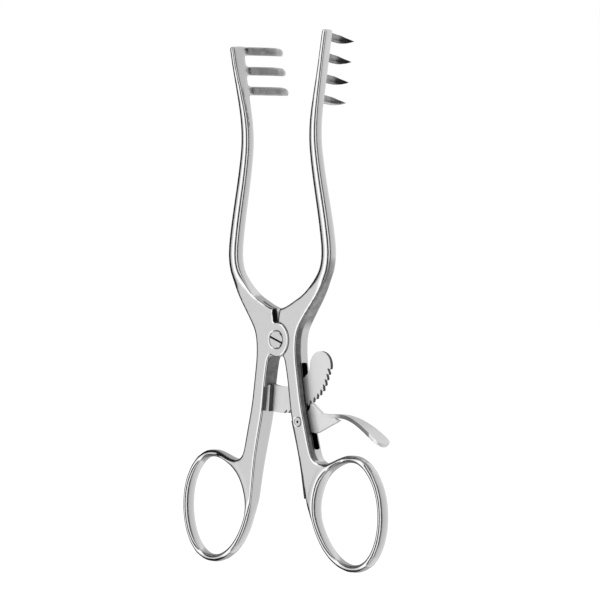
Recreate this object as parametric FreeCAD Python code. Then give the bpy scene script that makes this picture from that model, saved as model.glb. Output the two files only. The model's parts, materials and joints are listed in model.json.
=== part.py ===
import FreeCAD, Part
import math
import os

# Self retaining retractor with 3 x 4 sharp prongs.  Millimetres.
# Origin: the pivot, half way through the joint.  +Z runs up the arms to the rakes,
# +X to the right as the instrument faces its user, +Y away from the user.
# The pose is the photographed one: the arms held part open by the ratchet.

V = FreeCAD.Vector

# Joint and shanks
BODY_T = 6.0
BODY_HALF = BODY_T / 2
LAP_R = 5.4
LAP_CLEAR = 0.08
LAP_FACE_GAP = 0.04
STOP_ANGLE = 7.3
CROTCH_R = 9.8
EDGE_EASE = 0.45

# Joint screw
SCREW_HEAD_R = 2.7
SCREW_HEAD_T = 1.1
SCREW_SHANK_R = 1.6
SCREW_FLUSH = 0.05
SCREW_SLOT_W = 0.65
SCREW_SLOT_D = 0.5
SCREW_SLOT_TURN = 21.0
RUN_CLEAR = 0.05

# Finger rings
RING_BAND = 2.35
RING_DEPTH = 4.4
RING_ROUND = 0.92
RING_STEPS = 26

# Rakes
TIP_RIGHT = 96.3
TIP_LEFT = 93.4
PRONG_PITCH = 6.4
PRONG_INSET_RIGHT = 1.9
PRONG_INSET_LEFT = 1.35
PRONG_T = 1.25
PRONG_H = 2.9
PRONG_COUNT_RIGHT = 4
PRONG_COUNT_LEFT = 3

# Ratchet
TOOTH_PITCH = 4.75
BAR_R_IN = 14.8
BAR_R_OUT = 23.2
TOOTH_D = 1.05
TOOTH_LAND = 0.8
TOOTH_FIRST = 3.65
TOOTH_COUNT = 14
BAR_T = 1.1
BAR_Y = 0.7
BAR_TURN = 48.0
BAR_END = 63.3
BAR_END_R = 17.7
BAR_CAP_R = 4.4
FOOT_T = 1.0
FOOT_Y = (-1.2, 2.4)
STEM_R = 1.5
STEM_Z = -18.9
STEM_BED = 1.3
RATCHET_SCREW_R = 0.8
RATCHET_HEAD_R = 2.0
RATCHET_THREAD = 2.6

# Slot in the right shank
SLOT_TOP = -7.4
SLOT_END = -34.3
SLOT_Y = (-0.3, 1.9)

# Release lever
LEVER_T = 1.5
LEVER_SIDE = 0.1
PIN_X = 9.3
PIN_Z = -25.6
PIN_R = 0.95
PIN_HEAD_R = 1.3
PIN_HEAD_T = 0.8
PIN_DIMPLE_R = 0.45
PIN_DIMPLE_D = 0.3
NOSE_GAP = 0.10
NOSE_TOOTH = 6
NOSE_LEAD = 1.1
PAD_HALF = 3.0
PAD_T = 1.15
# Lever plate and the pad's upper line, measured from the pin: (x, z)
LEVER_EDGE = [(7.4, 2.5), (11.0, 2.6), (15.0, 2.3), (14.6, 0.6), (5.1, -3.6), (0.8, -3.0),
              (-1.8, -3.4), (-2.3, -1.6), (-1.4, 0.9), (0.8, 2.4), (2.2, 4.2)]
PAD_TOP = [(7.4, 2.6), (11.0, 2.8), (15.0, 2.8), (19.0, 2.2), (23.0, 1.0), (27.0, -0.8),
           (30.4, -3.1), (32.7, -5.7)]

# Release spring
SPRING_T = 0.55
SPRING_Y = (-2.0, 2.4)
SPRING_TOP = -25.4
SPRING_END = -49.6
SPRING_SCREW_Z = -46.0
SPRING_SCREW_R = 0.8
SPRING_HEAD_R = 1.5
SPRING_HEAD_T = 0.6
SPRING_SCREW_DEEP = 4.0

# Outline of one half, for the right hand side: (x, z)
SADDLE = [(3.8, 10.4), (7.2, 12.1), (10.2, 13.8), (12.7, 15.9), (15.5, 19.2), (17.8, 23.0)]
OUTER_EDGE = [(21.3, 22.0), (19.0, 16.7), (16.1, 12.3), (11.4, 6.1), (9.4, 2.5), (8.7, -1.4),
              (8.8, -6.2), (9.6, -12.0), (11.0, -20.8), (12.8, -28.2), (14.3, -34.0), (15.5, -36.8),
              (17.6, -38.3), (20.4, -38.2), (23.6, -37.1), (26.4, -36.6)]
OPENING_EDGE = [(26.8, -38.0), (23.4, -39.4), (19.6, -42.3), (16.8, -46.5),
                (15.5, -51.4), (15.7, -55.4)]
SHANK_POINTS = 12
INNER_EDGE = [(13.2, -55.8), (11.8, -50.0), (10.4, -41.5), (8.8, -34.0), (7.5, -28.8),
              (6.0, -22.2), (5.0, -14.5), (4.0, -8.6), (3.3, -5.6)]
# Half thickness of the shank and joint at each height: (half, z)
THIN_TOP = [(1.15, 24.0), (1.72, 19.5), (2.12, 16.0), (2.45, 12.5), (2.78, 9.0),
            (BODY_HALF, 5.4)]
THIN_END = [(BODY_HALF, -28.0), (2.85, -36.0), (2.5, -45.0), (2.2, -54.0), (2.15, -60.0)]

# Arm: centre x, centre z, width, depth, share of the corner that is round, turn to the wound
ARM = [(8.6, 8.6, 4.6, 4.8, 0.4, 0), (11.3, 11.3, 4.6, 4.6, 0.5, 0),
       (14.0, 13.9, 4.5, 4.4, 0.6, 0), (17.1, 17.7, 4.3, 4.2, 0.7, 0),
       (19.5, 22.0, 4.2, 4.15, 0.75, 0), (20.3, 27.0, 4.15, 4.1, 0.75, 0),
       (19.7, 33.0, 4.1, 4.05, 0.75, 0), (18.4, 40.5, 3.95, 3.95, 0.75, 0),
       (16.8, 48.5, 3.8, 3.85, 0.75, 0), (15.5, 56.0, 3.65, 3.75, 0.75, 0),
       (14.8, 62.5, 3.5, 3.65, 0.75, 0), (15.1, 69.0, 3.25, 3.65, 0.75, 1),
       (16.2, 75.5, 2.7, 3.8, 0.7, 5), (17.6, 82.5, 2.2, 4.2, 0.65, 11)]
ARM_END = (1.9, 4.6, 0.6, 15)
ARM_LEAN = 0.183
ARM_STEPS = 2

# Finger ring centre line: (x, z)
RING_LINE = [(14.0, -51.5), (15.0, -57.2), (17.6, -62.3), (21.3, -66.8), (25.8, -69.6),
             (30.6, -70.6), (35.4, -69.3), (39.2, -65.7), (41.6, -60.2), (42.4, -53.8),
             (41.6, -47.6), (39.2, -42.2), (35.4, -38.2), (30.4, -36.5), (24.6, -37.9),
             (19.2, -41.0), (15.5, -45.9)]

# Prong: how far in, how far back, thickness share, height share, drop
PRONG = [(-0.3, -0.8, 1.0, 1.0, 0.0), (2.1, 3.6, 1.0, 1.0, 0.0), (4.0, 7.2, 1.0, 1.0, 0.0),
         (5.2, 10.0, 1.0, 0.98, 0.03), (5.65, 11.9, 0.98, 0.9, 0.12),
         (5.1, 13.3, 0.88, 0.68, 0.34), (3.6, 13.9, 0.66, 0.42, 0.55),
         (1.7, 13.8, 0.2, 0.1, 0.75)]
PRONG_ROOT = (0.4, 1.5)
PRONG_BEVEL = 0.35


def on_plane(points, y):
    """Points (x, z) as vectors on the plane at y."""
    return [V(x, y, z) for x, z in points]


def spline(points):
    """A smooth edge through the points."""
    curve = Part.BSplineCurve()
    curve.interpolate(Points=points)
    return curve.toShape()


def line(a, b):
    """A straight edge."""
    return Part.makeLine(a, b)


def plate(edges, y0, y1):
    """The flat region inside the edges, drawn at y0, made solid up to y1."""
    face = Part.Face(Part.Wire(edges))
    return face.extrude(V(0, y1 - y0, 0))


def polygon_plate(points, y0, y1):
    """A straight-sided plate from y0 to y1."""
    loop = on_plane(points, y0)
    return plate([line(a, b) for a, b in zip(loop, loop[1:] + loop[:1])], y0, y1)


def rod(x, z, radius, y0, y1):
    """A cylinder along Y."""
    return Part.makeCylinder(radius, y1 - y0, V(x, y0, z), V(0, 1, 0))


def rounded_section(centre, u, v, half_u, half_v, share):
    """A rectangle with rounded corners; share is how much of the shorter half side they take."""
    radius = min(half_u, half_v) * share
    back = radius * (1 - math.sqrt(0.5))
    edges = []
    first, last = None, None
    for a, b, along_u in ((1, 1, True), (-1, 1, False), (-1, -1, True), (1, -1, False)):
        near_u = (a * half_u, b * (half_v - radius))
        near_v = (a * (half_u - radius), b * half_v)
        ends = (near_u, near_v) if along_u else (near_v, near_u)
        mid = (a * (half_u - back), b * (half_v - back))
        start, middle, end = (centre + u * x + v * y for x, y in (ends[0], mid, ends[1]))
        if last is None:
            first = start
        else:
            edges.append(line(last, start))
        edges.append(Part.Arc(start, middle, end).toShape())
        last = end
    edges.append(line(last, first))
    return Part.Wire(edges)


def ground_section(centre, u, v, half_u, half_v, share):
    """A rectangle with its corners ground off flat."""
    cut = min(half_u, half_v) * share
    corners = [(half_u, half_v - cut), (half_u - cut, half_v), (cut - half_u, half_v),
               (-half_u, half_v - cut), (-half_u, cut - half_v), (cut - half_u, -half_v),
               (half_u - cut, -half_v), (half_u, cut - half_v)]
    points = [centre + u * x + v * y for x, y in corners]
    return Part.makePolygon(points + points[:1])


def mirrored(shape):
    """The same shape on the left hand side."""
    return shape.mirror(V(0, 0, 0), V(1, 0, 0))


def half_outline(y0, y1):
    """The joint, shank and ring web of one half, as a plain plate."""
    stop = math.radians(STOP_ANGLE)
    centre = V(0, y0, 0)
    crotch = V(CROTCH_R * math.sin(stop), y0, CROTCH_R * math.cos(stop))
    saddle = on_plane(SADDLE, y0)
    outer = on_plane(OUTER_EDGE, y0)
    opening = on_plane(OPENING_EDGE, y0)
    inner = on_plane(INNER_EDGE, y0)
    edges = [line(centre, crotch), spline([crotch] + saddle), line(saddle[-1], outer[0]),
             spline(outer), line(outer[-1], opening[0]), spline(opening),
             line(opening[-1], inner[0]), spline(inner), line(inner[-1], centre)]
    return plate(edges, y0, y1)


def side_profile():
    """The side view of the plate, wide enough to trim it: thinner at the arm and the ring."""
    def chain(table, side):
        return [V(-1, side * half, z) for half, z in table]
    edges = []
    for side in (1, -1):
        top = chain(THIN_TOP, side)
        end = chain(THIN_END, side)
        edges += [spline(top), line(top[-1], end[0]), spline(end)]
    for half, z in (THIN_TOP[0], THIN_END[-1]):
        edges.append(line(V(-1, half, z), V(-1, -half, z)))
    face = Part.Face(Part.Wire(Part.__sortEdges__(edges)))
    return face.extrude(V(32, 0, 0))


def eased_rows(rows, steps):
    """The rows with smooth in-between rows, so that a loft through them has no kinks."""
    result = []
    for i in range(len(rows) - 1):
        a, b = rows[max(i - 1, 0)], rows[i]
        c, d = rows[i + 1], rows[min(i + 2, len(rows) - 1)]
        for k in range(steps):
            t = k / steps
            result.append(tuple(
                0.5 * (2 * q + (r - p) * t + (2 * p - 5 * q + 4 * r - w) * t * t
                       + (3 * q - p - 3 * r + w) * t ** 3)
                for p, q, r, w in zip(a, b, c, d)))
    result.append(rows[-1])
    return result


def arm(tip_z):
    """The curved arm from the joint to the rake, its end turned into a plate."""
    last_x, last_z = ARM[-1][0], ARM[-1][1]
    mid_z = (last_z + tip_z) / 2
    rows = list(ARM)
    for z in (mid_z, tip_z):
        rows.append((last_x + (z - last_z) * ARM_LEAN, z) + ARM_END)
    rows = eased_rows(rows, ARM_STEPS)
    sections = []
    for i, (x, z, width, depth, share, turn) in enumerate(rows):
        before = rows[max(i - 1, 0)]
        after = rows[min(i + 1, len(rows) - 1)]
        along = V(after[0] - before[0], 0, after[1] - before[1]).normalize()
        across = V(along.z, 0, -along.x)
        angle = math.radians(turn)
        back = V(0, 1, 0)
        u = across * math.cos(angle) + back * math.sin(angle)
        v = back * math.cos(angle) - across * math.sin(angle)
        sections.append(rounded_section(V(x, 0, z), u, v, width / 2, depth / 2, share))
    return Part.makeLoft(sections, True, True)


def arm_x(z):
    """Where the arm's centre is at height z."""
    for a, b in zip(ARM, ARM[1:]):
        if a[1] <= z <= b[1]:
            return a[0] + (b[0] - a[0]) * (z - a[1]) / (b[1] - a[1])
    return ARM[-1][0] + (z - ARM[-1][1]) * ARM_LEAN


def prong(z):
    """One sharp prong: back from the arm, in, and hooked out again to its point."""
    root = V(arm_x(z) - PRONG_ROOT[0], PRONG_ROOT[1], z)
    line_points = [root + V(-inward, back, -drop) for inward, back, t, h, drop in PRONG]
    sections = []
    for i, (inward, back, t_share, h_share, drop) in enumerate(PRONG):
        before = line_points[max(i - 1, 0)]
        after = line_points[min(i + 1, len(PRONG) - 1)]
        along = V(after.x - before.x, after.y - before.y, 0).normalize()
        across = V(-along.y, along.x, 0)
        sections.append(ground_section(line_points[i], across, V(0, 0, 1), PRONG_T / 2 * t_share,
                                       PRONG_H / 2 * h_share, PRONG_BEVEL))
    return Part.makeLoft(sections, True, True)


def finger_ring():
    """The oval finger ring."""
    curve = Part.BSplineCurve()
    curve.interpolate(Points=on_plane(RING_LINE, 0), PeriodicFlag=True)
    start, length = curve.FirstParameter, curve.LastParameter - curve.FirstParameter
    sections = []
    for i in range(RING_STEPS):
        at = start + length * i / RING_STEPS
        along = V(*curve.tangent(at)[0])
        across = V(along.z, 0, -along.x)
        sections.append(rounded_section(curve.value(at), across, V(0, 1, 0), RING_BAND / 2,
                                        RING_DEPTH / 2, RING_ROUND))
    return Part.makeLoft(sections + sections[:1], True, True)


def eased_plate():
    """The plate with its long edges eased."""
    body = half_outline(-BODY_T, BODY_T).common(side_profile()).removeSplitter()
    long_edges = [e for e in body.Edges if eased(e)]
    return body.makeChamfer(EDGE_EASE, long_edges)


def eased(edge):
    """True for the long front and back edges that a hand meets."""
    box = edge.BoundBox
    if box.YMin * box.YMax < 0 or box.ZLength < 3:
        return False
    mid = edge.valueAt((edge.FirstParameter + edge.LastParameter) / 2)
    inner_lap = math.hypot(mid.x, mid.z) < CROTCH_R * 0.6
    return not inner_lap


def blank(tip_z, inset, count):
    """One half as forged, before the joint is cut."""
    body = eased_plate().fuse([arm(tip_z), finger_ring()])
    teeth = [prong(tip_z - inset - i * PRONG_PITCH) for i in range(count)]
    return body.fuse(teeth).removeSplitter()


def lap(body, lap_side):
    """Cut the half-lap joint; lap_side -1 keeps the front layer, 1 the back layer."""
    gap = LAP_FACE_GAP / 2
    reach = BODY_T
    if lap_side < 0:
        recess = rod(0, 0, LAP_R + LAP_CLEAR, -gap, reach)
        disc = rod(0, 0, LAP_R, -BODY_HALF, -gap)
    else:
        recess = rod(0, 0, LAP_R + LAP_CLEAR, -reach, gap)
        disc = rod(0, 0, LAP_R, gap, BODY_HALF)
    return body.cut(recess).fuse(disc).removeSplitter()


def shank_normal(sign):
    """Unit vector across the shank, from its inner face to its outer face."""
    return V(sign * 0.988, 0, 0.152)


def edge_x(rising_points, z):
    """Where the spline through the points is at height z; the points run upwards."""
    curve = spline(on_plane(rising_points, 0)).Curve
    low, high = curve.FirstParameter, curve.LastParameter
    for _ in range(40):
        mid = (low + high) / 2
        if curve.value(mid).z < z:
            low = mid
        else:
            high = mid
    return curve.value(low).x


def inner_x(z):
    """Inner face of the right shank at height z."""
    return edge_x(INNER_EDGE, z)


def outer_x(z):
    """Outer face of the right shank at height z, above the ring."""
    return edge_x(OUTER_EDGE[:SHANK_POINTS][::-1], z)


def stem_base():
    """Where the ratchet stem meets the inner face of the left shank."""
    return V(-inner_x(STEM_Z), (FOOT_Y[0] + FOOT_Y[1]) / 2, STEM_Z)


def left_half():
    """Left ring, shank, front lap, arm and three-prong rake."""
    body = lap(mirrored(blank(TIP_LEFT, PRONG_INSET_LEFT, PRONG_COUNT_LEFT)), -1)
    head_seat = rod(0, 0, SCREW_HEAD_R + RUN_CLEAR, -BODY_T, -BODY_HALF + SCREW_FLUSH + SCREW_HEAD_T)
    bore = rod(0, 0, SCREW_SHANK_R + RUN_CLEAR, -BODY_T, BODY_T)
    across = shank_normal(-1)
    stem_hole = Part.makeCylinder(STEM_R, 9, stem_base() - across * 1.5, across)
    head_bed = Part.makeCylinder(RATCHET_HEAD_R, 9, stem_end(), across)
    return body.cut([head_seat, bore, stem_hole, head_bed])


def right_half():
    """Right ring, slotted shank, back lap, arm and four-prong rake."""
    body = lap(blank(TIP_RIGHT, PRONG_INSET_RIGHT, PRONG_COUNT_RIGHT), 1)
    thread = rod(0, 0, SCREW_SHANK_R, -BODY_T, BODY_T)
    y0, y1 = SLOT_Y
    past = 3.0
    slot = polygon_plate([(inner_x(SLOT_TOP) - past, SLOT_TOP - 0.9),
                          (outer_x(SLOT_TOP) + past, SLOT_TOP + 0.5),
                          (outer_x(SLOT_END) + past, SLOT_END + 0.6),
                          (inner_x(SLOT_END) - past, SLOT_END - 1.0)], y0, y1)
    pin_hole = rod(PIN_X, PIN_Z, PIN_R, -BODY_T, BODY_T)
    head_bed = rod(PIN_X, PIN_Z, PIN_HEAD_R, -BODY_T, -BODY_HALF + PIN_HEAD_T)
    base = spring_screw_base()
    across = shank_normal(1)
    screw_hole = Part.makeCylinder(SPRING_SCREW_R, SPRING_SCREW_DEEP, base, across)
    return body.cut([thread, slot, pin_hole, head_bed, screw_hole])


def joint_screw():
    """Slotted screw: turns in the front lap, threaded into the back lap."""
    face = -BODY_HALF + SCREW_FLUSH
    head = rod(0, 0, SCREW_HEAD_R, face, face + SCREW_HEAD_T)
    shank = rod(0, 0, SCREW_SHANK_R, face + SCREW_HEAD_T, BODY_HALF - SCREW_FLUSH)
    body = head.fuse(shank).removeSplitter()
    rim = [e for e in body.Edges if abs(e.BoundBox.YMax - face) < 0.01 and e.BoundBox.XLength > 4]
    body = body.makeChamfer(0.15, rim)
    slot = Part.makeBox(8, SCREW_SLOT_D, SCREW_SLOT_W, V(-4, face, -SCREW_SLOT_W / 2))
    slot.rotate(V(0, 0, 0), V(0, 1, 0), SCREW_SLOT_TURN)
    return body.cut(slot)


def polar(radius, degrees):
    """A point below the pivot: degrees from straight down towards +X."""
    t = math.radians(degrees)
    return (radius * math.sin(t), -radius * math.cos(t))


def bar_edge(degrees):
    """Radius of the bar's outer edge: level, then falling towards its rounded end."""
    past = max(0.0, (degrees - BAR_TURN) / (BAR_END - BAR_TURN))
    return BAR_R_OUT - (BAR_R_OUT - BAR_END_R - BAR_CAP_R) * past


def tooth_notches():
    """The saw-tooth gaps to take out of the bar's outer edge."""
    notches = []
    for i in range(TOOTH_COUNT):
        wall = TOOTH_FIRST + i * TOOTH_PITCH
        open_by = TOOTH_PITCH * TOOTH_LAND
        tip, heel = bar_edge(wall), bar_edge(wall - open_by)
        notch = [polar(tip + 1, wall), polar(tip - TOOTH_D, wall - 0.2),
                 polar(tip - TOOTH_D, wall - 0.9), polar(heel, wall - open_by),
                 polar(heel + 1, wall - open_by)]
        notches.append(polygon_plate(notch, BAR_Y - 1, BAR_Y + BAR_T + 1))
    return notches


def stem_end():
    """Outer end of the ratchet stem, a screw head short of the shank's outer face."""
    across = shank_normal(-1)
    base = stem_base()
    width = (outer_x(STEM_Z) - inner_x(STEM_Z)) / abs(across.x)
    return base + across * (width - STEM_BED)


def ratchet_bar():
    """Curved saw-tooth bar, with its foot and stem on the left shank."""
    y0, y1 = BAR_Y, BAR_Y + BAR_T
    far = 3 * BAR_R_OUT
    keep = polygon_plate([(0, 0), polar(far, -24), polar(far, 10), polar(far, BAR_TURN)], y0, y1)
    ring = rod(0, 0, BAR_R_OUT, y0, y1).cut(rod(0, 0, BAR_R_IN, y0, y1)).common(keep)
    end_x, end_z = polar(BAR_END_R, BAR_END)
    neck = polygon_plate([polar(BAR_R_OUT, BAR_TURN), polar(bar_edge(BAR_END), BAR_END),
                          polar(BAR_END_R - BAR_CAP_R, BAR_END), polar(BAR_R_IN, BAR_TURN)], y0, y1)
    bar = ring.fuse([neck, rod(end_x, end_z, BAR_CAP_R, y0, y1)])
    low = -BAR_R_OUT + 0.5
    high = -BAR_R_IN + 0.5
    root = -inner_x(STEM_Z)
    foot = polygon_plate([(root - 2, high), (root + FOOT_T + 0.4, high - 0.1),
                          (root + FOOT_T - 0.4, low), (root - 3, low)], FOOT_Y[0], FOOT_Y[1])
    shank = mirrored(half_outline(-BODY_T, BODY_T))
    body = bar.fuse(foot).cut(shank)
    across = shank_normal(-1)
    base = stem_base()
    stem = Part.makeCylinder(STEM_R, (stem_end() - base).dot(across) + 0.4, base - across * 0.4, across)
    body = body.fuse(stem).removeSplitter()
    thread = Part.makeCylinder(RATCHET_SCREW_R, RATCHET_THREAD, stem_end(), across * -1)
    return body.cut(tooth_notches() + [thread])


def ratchet_screw():
    """Flush screw that draws the ratchet stem into the left shank."""
    across = shank_normal(-1)
    head = Part.makeCylinder(RATCHET_HEAD_R, STEM_BED - 0.25, stem_end(), across)
    thread = Part.makeCylinder(RATCHET_SCREW_R, RATCHET_THREAD, stem_end(), across * -1)
    return head.fuse(thread).removeSplitter()


def lever_sides():
    """Front and back faces of the lever's plate."""
    back = SLOT_Y[1] - LEVER_SIDE
    return back - LEVER_T, back


def lever_outline():
    """The lever's plate: nose, pivot eye, heel and the wedge under the pad."""
    nose_angle = TOOTH_FIRST + NOSE_TOOTH * TOOTH_PITCH - NOSE_LEAD
    nose = polar(BAR_R_OUT + NOSE_GAP, nose_angle)
    nose_foot = polar(BAR_R_OUT + NOSE_GAP + 0.1, nose_angle + 1.1)
    return [nose, nose_foot] + [(PIN_X + x, PIN_Z + z) for x, z in LEVER_EDGE]


def lever_pad():
    """The broad thumb pad, curving down to its rounded end."""
    top = [(PIN_X + x, PIN_Z + z) for x, z in PAD_TOP]
    under = [(x - 0.35 * PAD_T, z - 0.94 * PAD_T) for x, z in reversed(top)]
    upper = on_plane(top, -PAD_HALF)
    lower = on_plane(under, -PAD_HALF)
    strip = plate([spline(upper), line(upper[-1], lower[0]), spline(lower),
                   line(lower[-1], upper[0])], -PAD_HALF, PAD_HALF)
    y0, y1 = lever_sides()
    mid, half = (y0 + y1) / 2, LEVER_T / 2
    low = PIN_Z - 3 * PAD_HALF
    front = [(6.4, mid - half), (11.4, mid - half), (15.9, mid - half - 0.5),
             (20.4, -PAD_HALF + 0.6), (25.9, -PAD_HALF), (30.2, -PAD_HALF + 0.7), (32.6, 0.0)]
    back = [(32.6, 0.0), (30.2, PAD_HALF - 0.7), (25.9, PAD_HALF), (20.4, PAD_HALF - 0.3),
            (15.9, mid + half + 0.5), (11.4, mid + half), (6.4, mid + half)]
    front = [V(PIN_X + x, y, low) for x, y in front]
    back = [V(PIN_X + x, y, low) for x, y in back]
    rim = Part.Wire([spline(front), spline(back), line(back[-1], front[0])])
    mask = Part.Face(rim).extrude(V(0, 0, 6 * PAD_HALF))
    return strip.common(mask)


def release_lever():
    """Pawl, pivot eye and thumb pad in one piece."""
    y0, y1 = lever_sides()
    body = polygon_plate(lever_outline(), y0, y1).fuse(lever_pad()).removeSplitter()
    return body.cut(rod(PIN_X, PIN_Z, PIN_R + RUN_CLEAR, -BODY_T, BODY_T))


def lever_pin():
    """Pivot pin through both walls of the slotted shank."""
    shank = rod(PIN_X, PIN_Z, PIN_R, -BODY_HALF + 0.1, BODY_HALF - 0.1)
    head = rod(PIN_X, PIN_Z, PIN_HEAD_R, -BODY_HALF + 0.1, -BODY_HALF + PIN_HEAD_T)
    dimple = rod(PIN_X, PIN_Z, PIN_DIMPLE_R, -BODY_T, -BODY_HALF + 0.1 + PIN_DIMPLE_D)
    return shank.fuse(head).removeSplitter().cut(dimple)


def spring_screw_base():
    """Where the spring's screw enters the inner face of the right shank."""
    return V(inner_x(SPRING_SCREW_Z), (SPRING_Y[0] + SPRING_Y[1]) / 2, SPRING_SCREW_Z)


def release_spring():
    """Leaf spring on the inner face of the right shank, its free end behind the lever's heel."""
    lift = [0, 0, 0, 0, 0.05, 0.15, 0.3]
    reach = SPRING_TOP - SPRING_END
    heights = [SPRING_END + reach * i / (len(lift) - 1) for i in range(len(lift))]
    leaves = heights[3]
    far = on_plane([(inner_x(z) - SPRING_T - l, z) for z, l in zip(heights, lift)], SPRING_Y[0])
    near = on_plane([(inner_x(z) - l, z) for z, l in zip(heights[3:], lift[3:])], SPRING_Y[0])
    buried = on_plane([(inner_x(SPRING_END) + 1.5, SPRING_END), (inner_x(leaves) + 1.5, leaves)],
                      SPRING_Y[0])
    edges = [spline(far), line(far[-1], near[-1]), spline(near), line(near[0], buried[1]),
             line(buried[1], buried[0]), line(buried[0], far[0])]
    body = plate(Part.__sortEdges__(edges), SPRING_Y[0], SPRING_Y[1])
    base = spring_screw_base()
    across = shank_normal(1)
    hole = Part.makeCylinder(SPRING_SCREW_R, 4, base - across * 2, across)
    return body.cut([half_outline(-BODY_T, BODY_T), hole])


def spring_screw():
    """Small screw that clamps the leaf spring."""
    base = spring_screw_base()
    across = shank_normal(1)
    top = base - across * (SPRING_T + 0.02)
    shank = Part.makeCylinder(SPRING_SCREW_R, SPRING_SCREW_DEEP + SPRING_T + 0.02, top, across)
    head = Part.makeCylinder(SPRING_HEAD_R, SPRING_HEAD_T, top, across * -1)
    return shank.fuse(head).removeSplitter()


PARTS = [("left_half", left_half), ("right_half", right_half), ("joint_screw", joint_screw),
         ("ratchet_bar", ratchet_bar), ("ratchet_screw", ratchet_screw),
         ("release_lever", release_lever), ("lever_pin", lever_pin),
         ("release_spring", release_spring), ("spring_screw", spring_screw)]

os.makedirs("parts", exist_ok=True)
for name, make in PARTS:
    shape = make()
    if len(shape.Solids) == 1:
        shape = shape.Solids[0]
    print(name, "valid", shape.isValid(), "solids", len(shape.Solids), "volume", round(shape.Volume, 1))
    shape.exportStep("parts/" + name + ".step")
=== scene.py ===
# %% [markdown]
# # Self retaining retractor
# A hand instrument that holds a wound open by itself. Two forged halves cross at a screw joint,
# each with a finger ring below and a rake of sharp prongs above. A toothed bar on the left shank
# runs through the right one, where a spring-loaded lever drops its nose into the teeth.
# This lesson loads the measured model, polishes its pieces, gives each its finish and lights them.

# %% Load the frame
import json
import math

import bpy
from mathutils import Matrix, Vector

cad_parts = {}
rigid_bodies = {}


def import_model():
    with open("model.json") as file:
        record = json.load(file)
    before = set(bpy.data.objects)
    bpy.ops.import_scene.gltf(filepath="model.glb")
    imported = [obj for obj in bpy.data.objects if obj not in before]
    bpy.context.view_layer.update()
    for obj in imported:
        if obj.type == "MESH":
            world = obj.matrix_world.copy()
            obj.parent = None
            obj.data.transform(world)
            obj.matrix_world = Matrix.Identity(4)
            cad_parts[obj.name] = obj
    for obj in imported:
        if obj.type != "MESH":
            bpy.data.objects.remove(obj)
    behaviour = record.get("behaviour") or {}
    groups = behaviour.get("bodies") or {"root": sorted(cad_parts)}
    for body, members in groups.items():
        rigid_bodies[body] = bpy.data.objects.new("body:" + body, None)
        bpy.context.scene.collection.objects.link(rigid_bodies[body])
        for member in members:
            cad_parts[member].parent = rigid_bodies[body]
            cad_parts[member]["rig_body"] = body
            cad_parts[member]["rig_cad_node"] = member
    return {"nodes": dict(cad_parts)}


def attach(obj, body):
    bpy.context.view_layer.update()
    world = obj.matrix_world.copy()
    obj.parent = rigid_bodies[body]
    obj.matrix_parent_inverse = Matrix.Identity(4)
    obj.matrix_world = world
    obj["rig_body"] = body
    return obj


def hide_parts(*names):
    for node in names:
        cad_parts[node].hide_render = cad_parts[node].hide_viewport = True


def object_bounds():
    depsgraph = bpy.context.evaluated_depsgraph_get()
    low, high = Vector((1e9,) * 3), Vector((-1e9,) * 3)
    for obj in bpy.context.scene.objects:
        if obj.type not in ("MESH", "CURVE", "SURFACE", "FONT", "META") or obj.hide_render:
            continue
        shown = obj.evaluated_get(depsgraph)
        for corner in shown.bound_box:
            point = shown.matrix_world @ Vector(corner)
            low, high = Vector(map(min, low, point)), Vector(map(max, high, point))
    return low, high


MM = 0.001

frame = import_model()
cad_low, cad_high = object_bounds()
bpy.ops.object.select_all(action="DESELECT")

# %% [markdown]
# The photograph is taken level with the joint and from the instrument's right, with a long lens,
# so the prongs and rings keep almost the same scale. The camera's angle and distance were worked
# out from the two halves, which are mirror images of each other. The picture's middle is not on
# the joint, so the camera is moved aside by an offset counted in picture elements.

# %% Camera
TURN, ROLL = math.radians(43.5), math.radians(-0.24)
DISTANCE_MM = 929.0
IMAGE_PX, PX_MM = 600, 0.315
OFFSET_PX = (-18.0, -39.5)

forward = Vector((-math.sin(TURN), math.cos(TURN), 0))
aside = Vector((math.cos(TURN), math.sin(TURN), 0))
right = aside * math.cos(ROLL) + Vector((0, 0, math.sin(ROLL)))
up = Vector((0, 0, math.cos(ROLL))) - aside * math.sin(ROLL)
place = (-forward * DISTANCE_MM - (right * OFFSET_PX[0] + up * OFFSET_PX[1]) * PX_MM) * MM

bpy.ops.object.camera_add()
camera = bpy.context.object
camera.name = "camera"
camera.matrix_world = Matrix((
    (right.x, up.x, -forward.x, place.x),
    (right.y, up.y, -forward.y, place.y),
    (right.z, up.z, -forward.z, place.z),
    (0, 0, 0, 1)))
camera.data.sensor_width = 36
camera.data.lens = camera.data.sensor_width * DISTANCE_MM / (IMAGE_PX * PX_MM)
camera.data.clip_start, camera.data.clip_end = 0.01, 20
bpy.context.scene.camera = camera
bpy.context.view_layer.update()
print("camera at", [round(v, 4) for v in camera.location], "lens", round(camera.data.lens, 1))

# %% [markdown]
# Polished steel only shows what stands round it, so in a white room it would look like paper. A
# photographer sets up dark cards, white walls and a bright softbox, and their reflections draw the
# black and white lines along every rounded edge. Cards could be modelled, but a tilted face looks
# past their edges. So the studio is painted round the horizon of the world as a ring of bands.

# %% Studio bands
# Bearing in degrees from the camera towards the right, and how bright the studio is there.
BANDS = [(-180, 0.5), (-172, 0.4), (-166, 0.01), (-99, 0.01), (-91, 1.0), (-82, 1.0), (-76, 1.7),
         (-57, 1.7), (-51, 0.95), (-41, 0.95), (-37, 0.01), (-8, 0.01), (-2, 1.3), (19, 1.3),
         (26, 0.02), (41, 0.03), (47, 0.45), (60, 0.75), (91, 0.85), (150, 1.05), (158, 0.6),
         (180, 0.5)]
# A colour stops at 1, so the bands are stored as a share of this brightness.
BAND_MOST = 2.0


def feed(tree, socket, value):
    """Give a socket its value, or link it to the socket that the value comes from."""
    if isinstance(value, bpy.types.NodeSocket):
        tree.links.new(value, socket)
    else:
        socket.default_value = value


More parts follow.
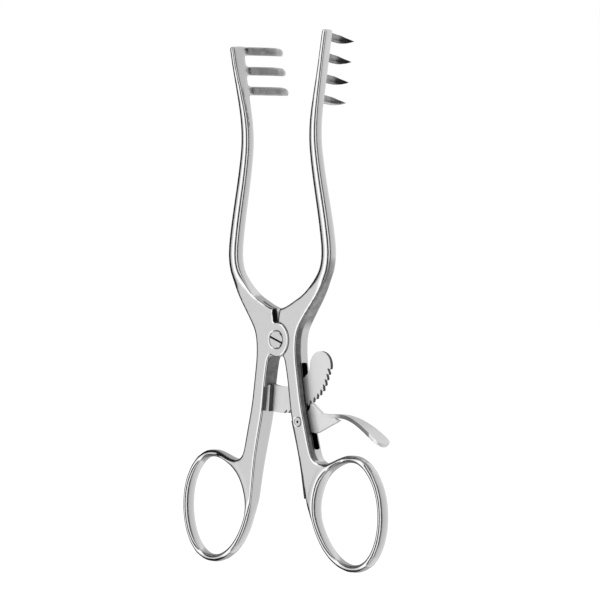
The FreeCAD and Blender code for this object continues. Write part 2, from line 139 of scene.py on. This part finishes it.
def math_node(tree, operation, *values):
    """A Math node whose inputs are numbers or other sockets."""
    node = tree.nodes.new("ShaderNodeMath")
    node.operation = operation
    for socket, value in zip(node.inputs, values):
        feed(tree, socket, value)
    return node.outputs[0]


def studio_bands(tree):
    """How bright the studio is in the direction looked at."""
    look = tree.nodes.new("ShaderNodeTexCoord")
    turn = tree.nodes.new("ShaderNodeVectorRotate")
    turn.rotation_type = "Z_AXIS"
    turn.inputs["Angle"].default_value = -TURN
    tree.links.new(look.outputs["Generated"], turn.inputs["Vector"])
    parts = tree.nodes.new("ShaderNodeSeparateXYZ")
    tree.links.new(turn.outputs[0], parts.inputs[0])
    toward = math_node(tree, "MULTIPLY", parts.outputs["Y"], -1.0)
    bearing = math_node(tree, "ARCTAN2", parts.outputs["X"], toward)
    along = math_node(tree, "ADD", math_node(tree, "DIVIDE", bearing, 2 * math.pi), 0.5)
    ramp = tree.nodes.new("ShaderNodeValToRGB")
    stops = ramp.color_ramp.elements
    while len(stops) > 1:
        stops.remove(stops[-1])
    for number, (degrees, strength) in enumerate(BANDS):
        position = (degrees + 180) / 360
        stop = stops[0] if number == 0 else stops.new(position)
        stop.position = position
        stop.color = (*(strength / BAND_MOST,) * 3, 1)
    tree.links.new(along, ramp.inputs["Fac"])
    return math_node(tree, "MULTIPLY", ramp.outputs["Color"], BAND_MOST)


print(len(BANDS), "bands round the studio")

# %% [markdown]
# The background is plain white, as on a page of a catalogue. The world gives each kind of ray its
# own answer: the camera and glass see white, a reflection sees the bands, and the light that falls
# on the steel is even and weaker, so that its own grey keeps its value.

# %% World
WORLD_LIGHT = 0.6


def seen_directly(tree):
    """1 for a ray from the camera, a reflection or glass, 0 for light."""
    path = tree.nodes.new("ShaderNodeLightPath").outputs
    seen = math_node(tree, "MAXIMUM", path["Is Camera Ray"], path["Is Glossy Ray"])
    return math_node(tree, "MAXIMUM", seen, path["Is Transmission Ray"])


def mixed(tree, share, first, second):
    """A Mix Shader between two shaders."""
    node = tree.nodes.new("ShaderNodeMixShader")
    for socket, source in zip(node.inputs, (share, first, second)):
        tree.links.new(source, socket)
    return node.outputs[0]


def glow_of(tree, strength):
    """A white Background of one strength."""
    node = tree.nodes.new("ShaderNodeBackground")
    node.inputs["Color"].default_value = (1, 1, 1, 1)
    feed(tree, node.inputs["Strength"], strength)
    return node.outputs[0]


scene = bpy.context.scene
scene.view_settings.view_transform = "Standard"
scene.world = bpy.data.worlds.new("studio")
scene.world.use_nodes = True
tree = scene.world.node_tree
tree.nodes.clear()
mirrored = tree.nodes.new("ShaderNodeLightPath").outputs["Is Glossy Ray"]
plain = mixed(tree, seen_directly(tree), glow_of(tree, WORLD_LIGHT), glow_of(tree, 1.0))
painted = mixed(tree, mirrored, plain, glow_of(tree, studio_bands(tree)))
output = tree.nodes.new("ShaderNodeOutputWorld")
tree.links.new(painted, output.inputs["Surface"])
print("world light", WORLD_LIGHT, "view", scene.view_settings.view_transform)

# %% [markdown]
# The floor is white too. It lies low enough for the finger rings to swing past when the arms are
# spread. Part of its white is a glow for rays that see it, which hides the seam to the background,
# and the rest is matt paint that takes a shadow.

# %% Floor
FLOOR_SIZE, FLOOR_GAP = 12, 0.012
FLOOR_GLOW, FLOOR_SHARE = 1.15, 0.8
FLOOR_TONE, FLOOR_ROUGHNESS = 0.9, 0.8

bpy.ops.mesh.primitive_plane_add(size=FLOOR_SIZE, location=(0, 0, cad_low.z - FLOOR_GAP))
floor = bpy.context.object
floor.name = "floor"
floor.visible_glossy = False
material = bpy.data.materials.new("floor_white")
material.use_nodes = True
tree = material.node_tree
paint = tree.nodes["Principled BSDF"]
paint.inputs["Base Color"].default_value = (FLOOR_TONE, FLOOR_TONE, FLOOR_TONE, 1)
paint.inputs["Roughness"].default_value = FLOOR_ROUGHNESS
glow = tree.nodes.new("ShaderNodeEmission")
glow.inputs["Strength"].default_value = FLOOR_GLOW
share = math_node(tree, "MULTIPLY", seen_directly(tree), FLOOR_SHARE)
tree.links.new(mixed(tree, share, paint.outputs[0], glow.outputs[0]),
               tree.nodes["Material Output"].inputs["Surface"])
floor.data.materials.append(material)
print("floor at", round(floor.location.z, 4))

# %% [markdown]
# One soft lamp stands to the left of the camera and one above it, as in a small product studio.
# They only model the matt places. Reflections don't show them, because the bands already hold the
# softbox.

# %% Lamps
def lamp(name, bearing, height, reach, size, watts):
    """A square soft lamp aimed at the joint, its bearing in degrees from the camera."""
    turn = math.radians(bearing)
    level = (-forward * math.cos(turn) + aside * math.sin(turn)) * reach
    where = level + Vector((0, 0, height))
    bpy.ops.object.light_add(type="AREA", location=where)
    light = bpy.context.object
    light.name = name
    light.rotation_mode = "QUATERNION"
    light.rotation_quaternion = (-where).to_track_quat("-Z", "Y")
    light.data.size = size
    light.data.energy = watts
    light.visible_glossy = False
    print(name, "at", [round(v, 2) for v in where])


lamp("lamp_left", bearing=-62, height=0.35, reach=1.2, size=0.35, watts=6)
lamp("lamp_top", bearing=20, height=1.1, reach=0.3, size=0.4, watts=3)

# %% [markdown]
# The halves are forged, ground and then polished by hand, so none of their edges is sharp. A Bevel
# would stop at the many short edges where the arm, the plate and the ring meet. Instead, a copy of
# each measured half is merged, rebuilt as an even skin of small squares and relaxed a little. That
# rounds every edge by the same small amount, as a polishing wheel does.

# %% Copy a measured piece
MERGE_WITHIN = 1e-6


def only(piece):
    """Select this piece alone and make it the active one."""
    bpy.ops.object.select_all(action="DESELECT")
    piece.select_set(True)
    bpy.context.view_layer.objects.active = piece


def working_copy(node, name):
    """A merged copy of a CAD node that no longer belongs to the measured model."""
    source = frame["nodes"][node]
    piece = source.copy()
    piece.data = source.data.copy()
    bpy.context.scene.collection.objects.link(piece)
    piece.name = name
    piece.parent = None
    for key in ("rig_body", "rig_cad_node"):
        del piece[key]
    only(piece)
    bpy.ops.object.mode_set(mode="EDIT")
    bpy.ops.mesh.select_all(action="SELECT")
    bpy.ops.mesh.remove_doubles(threshold=MERGE_WITHIN)
    bpy.ops.object.mode_set(mode="OBJECT")
    bpy.ops.mesh.customdata_custom_splitnormals_clear()
    print(name, "starts with", len(piece.data.vertices), "points")
    return piece


left_half = working_copy("left_half", "left_half_polished")
right_half = working_copy("right_half", "right_half_polished")

# %% [markdown]
# Voxel Remesh makes the even skin. Its squares are much smaller than the edges that show, so the
# skin keeps the outline of the forging.

# %% Even skin
HALF_SKIN = 0.18


def skin(piece, size_mm):
    """Rebuild the surface as an even skin of small squares."""
    only(piece)
    piece.data.remesh_voxel_size = size_mm * MM
    bpy.ops.object.voxel_remesh()
    print(piece.name, "has a skin of", len(piece.data.polygons), "squares")


skin(left_half, HALF_SKIN)
skin(right_half, HALF_SKIN)

# %% [markdown]
# The measured finger rings are twenty-six straight runs. A hand would feel them, so the polisher
# makes the hole one smooth oval. A new ring could be spun, but it would need a joint to the shank.
# Here the ring's own points are moved. First, the hole's edge is read off as a distance at each
# bearing from its middle, and a smooth curve of a few waves is laid through those distances.

# %% Read the hole of a finger ring
RING_MIDDLE = (28.6, -53.8)
BINS, WAVES = 240, 8
# The hole's edge is read from the points this near to the middle of the ring's depth.
EDGE_SLICE = 0.4
NO_EDGE = 99.0


def about_ring(points, side):
    """Each point's distance from the ring's middle, and its bearing counted in bins."""
    polar = []
    for point in points:
        x, z = point.co.x / MM - side * RING_MIDDLE[0], point.co.z / MM - RING_MIDDLE[1]
        polar.append((math.hypot(x, z), math.atan2(z, x) / (2 * math.pi) % 1.0 * BINS))
    return polar


def hole_edge(points, polar):
    """How far the hole reaches in each bin."""
    hole = [NO_EDGE] * BINS
    for point, (reach, bearing) in zip(points, polar):
        if abs(point.co.y) < EDGE_SLICE * MM:
            number = int(bearing)
            hole[number] = min(hole[number], reach)
    return hole


def smooth_edge(hole):
    """The same reach, read off a curve of a few waves."""
    turns = [2 * math.pi * (number + 0.5) / BINS for number in range(BINS)]
    smooth = [0.0] * BINS
    for order in range(WAVES + 1):
        share = (1 if order == 0 else 2) / BINS
        level = share * sum(reach * math.cos(order * turn) for reach, turn in zip(hole, turns))
        tilt = share * sum(reach * math.sin(order * turn) for reach, turn in zip(hole, turns))
        smooth = [old + level * math.cos(order * turn) + tilt * math.sin(order * turn)
                  for old, turn in zip(smooth, turns)]
    return smooth


for piece, side in ((left_half, -1), (right_half, 1)):
    points = piece.data.vertices
    hole = hole_edge(points, about_ring(points, side))
    print(piece.name, "hole reaches", round(min(hole), 2), "to", round(max(hole), 2), "mm")

# %% [markdown]
# Then the whole band moves by the difference between the hole and the curve. In the same pass its
# square section is turned into an oval one, which is easier on the fingers. Where the ring runs
# into the shank only the side towards the hole is rounded.

# %% Smooth finger rings
RING_HALF, RING_WALL, OVAL_DEPTH = 1.175, 2.9, 2.5
# Metal between these distances from the hole belongs to the shank.
SHANK_TO = 9
BLUR = 6
# The easing is full up to EASE_TO minus EASE_FADE from the hole, and ends at EASE_TO.
EASE_TO, EASE_FADE = 5.5, 2.5
MOST_OFF = 1.6


def free_band(hole, polar):
    """1 in the bins where the ring stands free, 0 where it joins the shank, blurred between."""
    free = [1.0] * BINS
    for reach, bearing in polar:
        number = int(bearing)
        if RING_WALL < reach - hole[number] < SHANK_TO:
            free[number] = 0.0
    near = range(-BLUR, BLUR + 1)
    return [sum(free[(number + step) % BINS] for step in near) / len(near)
            for number in range(BINS)]


def round_ring(piece, side):
    """Turn a ring's straight runs into one smooth oval, and its section into an oval too."""
    points = piece.data.vertices
    polar = about_ring(points, side)
    hole = hole_edge(points, polar)
    lift = [smooth - reach for smooth, reach in zip(smooth_edge(hole), hole)]
    free = free_band(hole, polar)
    for point, (reach, bearing) in zip(points, polar):
        number = int(bearing - 0.5) % BINS
        share = (bearing - 0.5) % 1.0
        edge = hole[number] * (1 - share) + hole[(number + 1) % BINS] * share
        weight = min(1.0, max(0.0, (EASE_TO - (reach - edge)) / EASE_FADE))
        if weight > 0:
            step = (lift[number] * (1 - share) + lift[(number + 1) % BINS] * share) * weight
            off = min(MOST_OFF, reach - edge - RING_HALF)
            fuller = 1.0 if off < 0 else free[number]
            oval = math.sqrt(max(0.0, 1 - (point.co.y / MM / OVAL_DEPTH) ** 2))
            step = (step - off * (1 - oval) * fuller * weight) * MM
            turn = 2 * math.pi * bearing / BINS
            point.co.x += step * math.cos(turn)
            point.co.z += step * math.sin(turn)
    print(piece.name, "ring eased by up to", round(max(abs(v) for v in lift), 3), "mm")


round_ring(left_half, -1)
round_ring(right_half, 1)

# %% [markdown]
# Now the skin is relaxed. All edges get the same light polish. The arms and the rings are the
# roundest parts, so they are relaxed most. A vertex group limits that to them, and they are made a
# little fuller first, because relaxing thins them. The corner where a ring leaves its shank has
# the shortest edges, so it gets a last pass of its own.

# %% Relax the halves
BLEND, ROUND_PASSES, SEAM_PASSES = 24, 80, 70
FULLER = 0.05
ARM_FROM, ARM_FULL = 12.0, 20.0
RING_FROM, RING_OUTER, RIM, RIM_FADE = -34.0, (15.3, 18.2), 1.05, 0.05
SEAM, SEAM_REACH, SEAM_FADE = (26.3, -37.3), 5, 2


def apply_modifier(piece, kind, **values):
    """Add one modifier with its values and apply it at once."""
    only(piece)
    modifier = piece.modifiers.new(kind.lower(), kind)
    for label, value in values.items():
        setattr(modifier, label, value)
    bpy.ops.object.modifier_apply(modifier=modifier.name)


def roundness(out, z):
    """How much a place belongs to the arm or the ring, as a weight that is full at 1."""
    if z < RING_FROM:
        across, along = (out - RING_MIDDLE[0]) / RING_OUTER[0], (z - RING_MIDDLE[1]) / RING_OUTER[1]
        return (RIM - math.hypot(across, along)) / RIM_FADE
    return (z - ARM_FROM) / (ARM_FULL - ARM_FROM)


def seam_share(out, z):
    """How near a place is to the corner where the ring leaves the shank."""
    return (SEAM_REACH - math.hypot(out - SEAM[0], z - SEAM[1])) / SEAM_FADE


def weigh(piece, side, name, rule):
    """A vertex group whose weights follow a rule of the place, in millimetres."""
    group = piece.vertex_groups.new(name=name)
    for point in piece.data.vertices:
        weight = rule(side * point.co.x / MM, point.co.z / MM)
        if weight > 0:
            group.add((point.index,), min(1.0, weight), "REPLACE")


for piece, side in ((left_half, -1), (right_half, 1)):
    apply_modifier(piece, "SMOOTH", factor=0.5, iterations=BLEND)
    weigh(piece, side, "round", roundness)
    apply_modifier(piece, "DISPLACE", strength=FULLER * MM, mid_level=0.0, vertex_group="round")
    apply_modifier(piece, "SMOOTH", factor=0.5, iterations=ROUND_PASSES, vertex_group="round")
    weigh(piece, side, "seam", seam_share)
    apply_modifier(piece, "SMOOTH", factor=0.5, iterations=SEAM_PASSES, vertex_group="seam")
    piece.vertex_groups.clear()
    print(piece.name, "relaxed, size", [round(v / MM, 1) for v in piece.dimensions])

# %% [markdown]
# A finished piece is thinned to a fair number of faces, shaded smooth and handed over. It rides on
# the body of the node that it stands in for, so it moves with the joint.

# %% Hand over the halves
FACE_LIMIT = 95000


def hand_over(piece, body, node):
    """Keep the piece light, shade it smooth and let it stand in for its CAD node."""
    squares = len(piece.data.polygons)
    if squares > FACE_LIMIT:
        apply_modifier(piece, "DECIMATE", ratio=FACE_LIMIT / squares)
    only(piece)
    bpy.ops.object.shade_smooth()
    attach(piece, body)
    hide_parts(node)
    print(piece.name, squares, "squares, kept", len(piece.data.polygons))


hand_over(left_half, "left", "left_half")
hand_over(right_half, "right", "right_half")

# %% [markdown]
# The release lever is a flat pawl plate that carries a thumb pad. The plate is exact work, so it
# is kept from the measured lever. The pad is shaped from listed stations. The measured one is too
# plain, so a cutter takes it off and a new one is drawn.

# %% Lever plate
CUT_PLACE, CUT_SIZE, CUT_TURN = (0.0386, 0, -0.01927), (0.04, 0.02, 0.02), 18

lever = working_copy("release_lever", "release_lever_polished")
bpy.ops.object.select_all(action="DESELECT")
bpy.ops.mesh.primitive_cube_add(size=1, location=CUT_PLACE, scale=CUT_SIZE,
                                rotation=(0, math.radians(CUT_TURN), 0))
cutter = bpy.context.object
apply_modifier(lever, "BOOLEAN", object=cutter, operation="DIFFERENCE", solver="EXACT")
bpy.data.objects.remove(cutter)
print("lever plate left with", len(lever.data.polygons), "faces")

# %% [markdown]
# The pad starts as thin as the plate, arches over and widens into a rounded end. It is drawn as a
# strip: one edge is extruded from station to station and scaled to the width there. Then the strip
# is subdivided, gets its thickness and has its edges broken.

# %% Thumb pad
# Along the pad, in millimetres: how far out, how high its top is, and half its width.
PAD = [(17.0, -23.1, 0.70), (20.4, -23.0, 0.77), (24.0, -23.0, 0.95), (27.3, -23.2, 1.35),
       (30.7, -24.2, 1.90), (33.6, -25.5, 2.35), (36.0, -26.8, 2.68), (38.3, -28.3, 2.89),
       (40.5, -29.8, 3.00), (42.2, -30.9, 2.66), (43.1, -32.0, 1.22)]
PAD_MIDDLE, PAD_THICK, PAD_EDGE = 1.05, 1.25, 0.3
END_SLACK = 0.01

bpy.ops.object.select_all(action="DESELECT")
bpy.ops.mesh.primitive_grid_add(x_subdivisions=1, y_subdivisions=2, size=1)
pad = bpy.context.object
pad.name = "thumb_pad"
for point in pad.data.vertices:
    out, height, half = PAD[0] if point.co.x < 0 else PAD[1]
    point.co = Vector((out, PAD_MIDDLE + point.co.y * 2 * half, height)) * MM
bpy.ops.object.mode_set(mode="EDIT")
for (x0, z0, half0), (x1, z1, half1) in zip(PAD[1:], PAD[2:]):
    bpy.ops.mesh.select_mode(type="EDGE")
    bpy.ops.mesh.select_all(action="DESELECT")
    bpy.ops.object.mode_set(mode="OBJECT")
    for edge in pad.data.edges:
        ends = [pad.data.vertices[number].co.x for number in edge.vertices]
        edge.select = min(ends) > (x0 - END_SLACK) * MM
    bpy.ops.object.mode_set(mode="EDIT")
    bpy.ops.mesh.extrude_region_move(
        TRANSFORM_OT_translate={"value": ((x1 - x0) * MM, 0, (z1 - z0) * MM)})
    bpy.ops.transform.resize(value=(1, half1 / half0, 1),
                             center_override=(0, PAD_MIDDLE * MM, 0))
bpy.ops.object.mode_set(mode="OBJECT")
apply_modifier(pad, "SUBSURF", levels=2, render_levels=2)
apply_modifier(pad, "SOLIDIFY", thickness=PAD_THICK * MM, offset=-1)
apply_modifier(pad, "BEVEL", width=PAD_EDGE * MM, segments=3, limit_method="ANGLE")
print("thumb pad", len(pad.data.polygons), "faces, size",
      [round(v / MM, 1) for v in pad.dimensions])

# %% [markdown]
# The real lever is one piece, so the plate and the pad get one skin. It is finer than that of the
# halves, to keep the nose and the eye crisp.

# %% One lever
LEVER_SKIN, LEVER_PASSES = 0.12, 5

only(lever)
pad.select_set(True)
bpy.ops.object.join()
skin(lever, LEVER_SKIN)
apply_modifier(lever, "SMOOTH", factor=0.5, iterations=LEVER_PASSES)
hand_over(lever, "lever", "release_lever")

# %% [markdown]
# The finishes share three effects, so each is made once as a node group and placed in every
# material with its own values. The first is a box, which picks out a part of the piece by its
# place. Painting the part by hand would need a map, and the box is measured like the piece itself.

# %% Box mask
def new_group(name, inputs, outputs):
    """An empty shader group with named sockets, given as (name, type, value)."""
    group = bpy.data.node_groups.new(name, "ShaderNodeTree")
    for label, kind, value in inputs:
        socket = group.interface.new_socket(label, in_out="INPUT", socket_type=kind)
        socket.default_value = value
    for label, kind in outputs:
        group.interface.new_socket(label, in_out="OUTPUT", socket_type=kind)
    given = group.nodes.new("NodeGroupInput").outputs
    return group, given, group.nodes.new("NodeGroupOutput").inputs


def vector_node(tree, operation, first, second):
    """A Vector Math node whose inputs are vectors or other sockets."""
    node = tree.nodes.new("ShaderNodeVectorMath")
    node.operation = operation
    feed(tree, node.inputs[0], first)
    feed(tree, node.inputs[1], second)
    return node.outputs["Value"] if operation == "DOT_PRODUCT" else node.outputs["Vector"]


def millimetres(tree):
    """The object's own coordinates in millimetres."""
    place = tree.nodes.new("ShaderNodeTexCoord").outputs["Object"]
    return vector_node(tree, "MULTIPLY", place, (1 / MM,) * 3)


def ramped(tree, value, low, high):
    """0 below low, 1 above high, and even between."""
    node = tree.nodes.new("ShaderNodeMapRange")
    for label, item in (("Value", value), ("From Min", low), ("From Max", high)):
        feed(tree, node.inputs[label], item)
    return node.outputs[0]


box_group, given, made = new_group(
    "inside_box",
    [("Low", "NodeSocketVector", (-1, -1, -1)), ("High", "NodeSocketVector", (1, 1, 1)),
     ("Soft", "NodeSocketFloat", 0.2)],
    [("Mask", "NodeSocketFloat")])
here = millimetres(box_group)
above = vector_node(box_group, "SUBTRACT", here, given["Low"])
below = vector_node(box_group, "SUBTRACT", given["High"], here)
parts = box_group.nodes.new("ShaderNodeSeparateXYZ")
feed(box_group, parts.inputs[0], vector_node(box_group, "MINIMUM", above, below))
least = math_node(box_group, "MINIMUM", parts.outputs[0], parts.outputs[1])
least = math_node(box_group, "MINIMUM", least, parts.outputs[2])
feed(box_group, made["Mask"], ramped(box_group, least, 0.0, given["Soft"]))
print("group", box_group.name)

# %% [markdown]
# The second effect picks out the faces that point one way, such as the side of a shank that is
# painted dark as shade. Its other output, the rim, picks out the faces that point neither this way
# nor the opposite one.

# %% Facing mask
facing_group, given, made = new_group(
    "facing",
    [("Direction", "NodeSocketVector", (0, -1, 0)), ("From", "NodeSocketFloat", 0.5),
     ("To", "NodeSocketFloat", 0.7)],
    [("Mask", "NodeSocketFloat"), ("Rim", "NodeSocketFloat")])
normal = facing_group.nodes.new("ShaderNodeTexCoord").outputs["Normal"]
turned = vector_node(facing_group, "DOT_PRODUCT", normal, given["Direction"])
feed(facing_group, made["Mask"], ramped(facing_group, turned, given["From"], given["To"]))
either = math_node(facing_group, "ABSOLUTE", turned)
either = ramped(facing_group, either, given["From"], given["To"])
feed(facing_group, made["Rim"], math_node(facing_group, "SUBTRACT", 1.0, either))
print("group", facing_group.name)

# %% [markdown]
# The third effect is the fine satin that a fibre wheel leaves, with broad faint clouds over it
# where the wheel pressed more. Two noises at different scales make both.

# %% Satin grain
CLOUD_SCALE = 0.45
FINE_DETAIL, CLOUD_DETAIL = 4.0, 3.0

grain_group, given, made = new_group(
    "satin_grain",
    [("Scale", "NodeSocketFloat", 6.0), ("Contrast", "NodeSocketFloat", 0.05),
     ("Blotches", "NodeSocketFloat", 0.05)],
    [("Shade", "NodeSocketFloat"), ("Height", "NodeSocketFloat"), ("Cloud", "NodeSocketFloat")])
here = millimetres(grain_group)
shade = 1.0
for scale, detail, amount, output in ((given["Scale"], FINE_DETAIL, "Contrast", "Height"),
                                      (CLOUD_SCALE, CLOUD_DETAIL, "Blotches", "Cloud")):
    noise = grain_group.nodes.new("ShaderNodeTexNoise")
    noise.inputs["Detail"].default_value = detail
    feed(grain_group, noise.inputs["Vector"], here)
    feed(grain_group, noise.inputs["Scale"], scale)
    feed(grain_group, made[output], noise.outputs[0])
    swing = math_node(grain_group, "SUBTRACT", noise.outputs[0], 0.5)
    swing = math_node(grain_group, "MULTIPLY", swing, given[amount])
    shade = math_node(grain_group, "ADD", swing, shade)
feed(grain_group, made["Shade"], shade)
print("group", grain_group.name)

# %% [markdown]
# One recipe makes every steel finish. The grain varies the colour, the clouds vary the roughness a
# little, and the grain raises a very low bump. Each mark then lays a darker, duller and mottled
# colour over its own place, and most marks are painted shade and shadow. The steel is a trace
# bluer than grey.

# %% Steel recipe
BLOTCHES, CLOUD_ROUGHNESS = 0.06, 0.12
MARK_SCALE, MARK_ROUGHNESS = 2.2, 0.38
BLUER = 1.008
BUMP_STRENGTH, BUMP_MM = 0.25, 0.004


def placed(tree, group, **values):
    """A group placed in a material, with the values for its named inputs."""
    node = tree.nodes.new("ShaderNodeGroup")
    node.node_tree = group
    for label, value in values.items():
        node.inputs[label].default_value = value
    return node.outputs


def laid_over(tree, mask, under, over):
    """A value that goes from under to over as the mask goes from 0 to 1."""
    node = tree.nodes.new("ShaderNodeMix")
    for label, value in (("Factor", mask), ("A", under), ("B", over)):
        feed(tree, node.inputs[label], value)
    return node.outputs["Result"]


def mark_mask(tree, low, high, soft, direction):
    """Where a mark lies: inside its box, and on the faces that its direction asks for."""
    mask = placed(tree, box_group, Low=low, High=high, Soft=soft)["Mask"]
    if direction is None:
        return mask
    if direction == "rim":
        side = placed(tree, facing_group, Direction=(0, 1, 0))["Rim"]
    else:
        side = placed(tree, facing_group, Direction=direction)["Mask"]
    return math_node(tree, "MULTIPLY", mask, side)


def steel(name, tone, roughness, marks=(), metallic=1.0, scale=6.0):
    """A metal finish. A mark is (low, high, soft, direction, tone, mottle)."""
    material = bpy.data.materials.new(name)
    material.use_nodes = True
    tree = material.node_tree
    shader = tree.nodes["Principled BSDF"]
    shader.inputs["Metallic"].default_value = metallic
    grain = placed(tree, grain_group, Scale=scale, Contrast=0.10, Blotches=BLOTCHES)
    colour = math_node(tree, "MULTIPLY", grain["Shade"], tone)
    rough = math_node(tree, "MULTIPLY_ADD", grain["Cloud"], CLOUD_ROUGHNESS,
                      roughness - CLOUD_ROUGHNESS / 2)
    for low, high, soft, direction, dark, mottle in marks:
        mask = mark_mask(tree, low, high, soft, direction)
        spots = placed(tree, grain_group, Scale=MARK_SCALE, Contrast=mottle, Blotches=mottle)
        spots = math_node(tree, "MULTIPLY", spots["Shade"], dark)
        colour = laid_over(tree, mask, colour, spots)
        rough = laid_over(tree, mask, rough, MARK_ROUGHNESS)
    cool = tree.nodes.new("ShaderNodeCombineColor")
    for label, value in (("Red", colour), ("Green", colour),
                         ("Blue", math_node(tree, "MULTIPLY", colour, BLUER))):
        tree.links.new(value, cool.inputs[label])
    tree.links.new(cool.outputs[0], shader.inputs["Base Color"])
    tree.links.new(rough, shader.inputs["Roughness"])
    relief = tree.nodes.new("ShaderNodeBump")
    relief.inputs["Strength"].default_value = BUMP_STRENGTH
    relief.inputs["Distance"].default_value = BUMP_MM * MM
    tree.links.new(grain["Height"], relief.inputs["Height"])
    tree.links.new(relief.outputs[0], shader.inputs["Normal"])
    print(name, "with", len(marks), "marks")
    return material


def finish(piece, material):
    """The only material of a piece."""
    piece.data.materials.clear()
    piece.data.materials.append(material)


# %% [markdown]
# Both halves are satin steel. Their joint is filed to fit, and the narrow gaps at the crotch are
# painted black as shadow. The left prongs are darker and duller. The bar's foot sits against the
# inner side of the left shank, which is painted darker as shade above the foot and beside it.

# %% Left half
# Painted shadow: the black that fills gaps, slots and dimples where shade falls.
SHADOW_BLACK = 0.012

left_marks = [
    # The gap at the crotch, and the wedge that it opens into, painted black as shadow.
    ((-1.7, -2.85, 4.6), (0.5, -1.0, 10.4), 0.05, None, SHADOW_BLACK, 0.5),
    ((-7.2, -1.5, 8.6), (0.0, -0.4, 13.2), 0.2, (0, 0, 1), SHADOW_BLACK, 0.5),
    # The prongs.
    ((-20.0, 2.6, 74.0), (-2.0, 30.0, 99.0), 0.6, None, 0.52, 0.9),
    # Painted shade on the inner side, above the bar's foot and beside it.
    ((-9.0, -2.6, -15.0), (-2.0, 3.4, -5.0), 0.4, (1, 0, 0), 0.17, 0.9),
    ((-14.0, -3.1, -22.5), (-2.0, -1.3, -14.8), 0.1, (1, 0, 0), 0.14, 0.9),
]
finish(left_half, steel("satin_steel_left", 0.635, 0.16, left_marks))

# %% [markdown]
# The right prongs are painted a darker, mottled grey as shade, deepening towards the points. The
# outer side of the slotted shank is painted dark as shade, and the slot's inside black as shadow.

# %% Right half
right_shade_marks = [
    # The gap at the crotch, painted black as shadow.
    ((-1.7, -2.85, 4.6), (0.5, -1.3, 10.4), 0.05, None, SHADOW_BLACK, 0.5),
    # The prongs, and their points, painted darker as shade.
    ((2.0, 2.6, 74.0), (40.0, 30.0, 99.0), 0.6, None, 0.24, 1.6),
    ((2.0, 9.5, 74.0), (40.0, 30.0, 99.0), 3.0, None, 0.04, 0.8),
    # Painted shade on the outer side and the arm root above it, painted shadow at the slot's edge.
    ((7.5, -3.0, -38.0), (20.0, -0.3, 12.0), 0.5, (1, 0, 0), 0.15, 1.3),
    ((7.5, -1.15, -34.6), (20.0, -0.5, -7.0), 0.1, (1, 0, 0), SHADOW_BLACK, 0.5),
    ((8.5, -5.0, 3.0), (24.0, 5.0, 26.0), 3.0, (1, 0, 0), 0.3, 1.0),
    # The two walls of the slot, painted black as shadow.
    ((2.0, -0.7, -34.6), (17.0, 0.0, -7.0), 0.05, (0, 1, 0), SHADOW_BLACK, 0.5),
    ((2.0, 1.6, -34.6), (17.0, 2.3, -7.0), 0.05, (0, -1, 0), SHADOW_BLACK, 0.5),
]
finish(right_half, steel("satin_steel_right", 0.635, 0.16, right_shade_marks))

# %% [markdown]
# The screws and the pin are turned on a lathe, so they are a little rougher than the halves. The
# joint screw's slot and the pin's dimple are painted black as shadow. These pieces keep their
# measured meshes.

# %% Screws and pin
EVERY = 200.0

nodes = frame["nodes"]
# Painted shadow in the joint screw's slot and in the pin's dimple.
slot_shadow_mark = ((-EVERY, -2.85, -EVERY), (EVERY, -2.0, EVERY), 0.1, None, SHADOW_BLACK, 0.5)
dimple_shadow_mark = ((-EVERY, -2.8, -EVERY), (EVERY, 0.0, EVERY), 0.1, None, SHADOW_BLACK, 0.5)
finish(nodes["joint_screw"], steel("screw_steel", 0.64, 0.2, [slot_shadow_mark]))
finish(nodes["ratchet_screw"], steel("ratchet_screw_steel", 0.62, 0.24))
finish(nodes["lever_pin"], steel("pin_steel", 0.64, 0.2, [dimple_shadow_mark]))
finish(nodes["spring_screw"], steel("spring_screw_steel", 0.6, 0.24))

# %% [markdown]
# The toothed bar is blasted matt, and its edges and tooth walls are painted dark as shade, which
# makes the teeth stand out. The lever is softly polished, and the front of its thumb pad is painted
# darker as shade. The leaf spring is painted almost black as shade. A matt blasted surface scatters
# light, so the bar and the lever are less metallic than the halves.

# %% Ratchet, lever and spring
# Painted shade on the bar's edges and tooth walls, and on the front of the thumb pad.
edge_shade_mark = ((-EVERY, -EVERY, -EVERY), (EVERY, EVERY, EVERY), 0.1, "rim", 0.06, 0.8)
pad_shade_mark = ((17.5, -9.0, -30.5), (38.5, 0.2, -20.0), 0.25, (0, -1, 0), 0.22, 0.9)
finish(nodes["ratchet_bar"], steel("ratchet_steel", 0.72, 0.5, [edge_shade_mark], metallic=0.35))
finish(lever, steel("lever_steel", 0.72, 0.3, [pad_shade_mark], metallic=0.45))
# The leaf spring's near-black colour is painted shade.
finish(nodes["release_spring"], steel("spring_steel", 0.05, 0.3, scale=9.0))
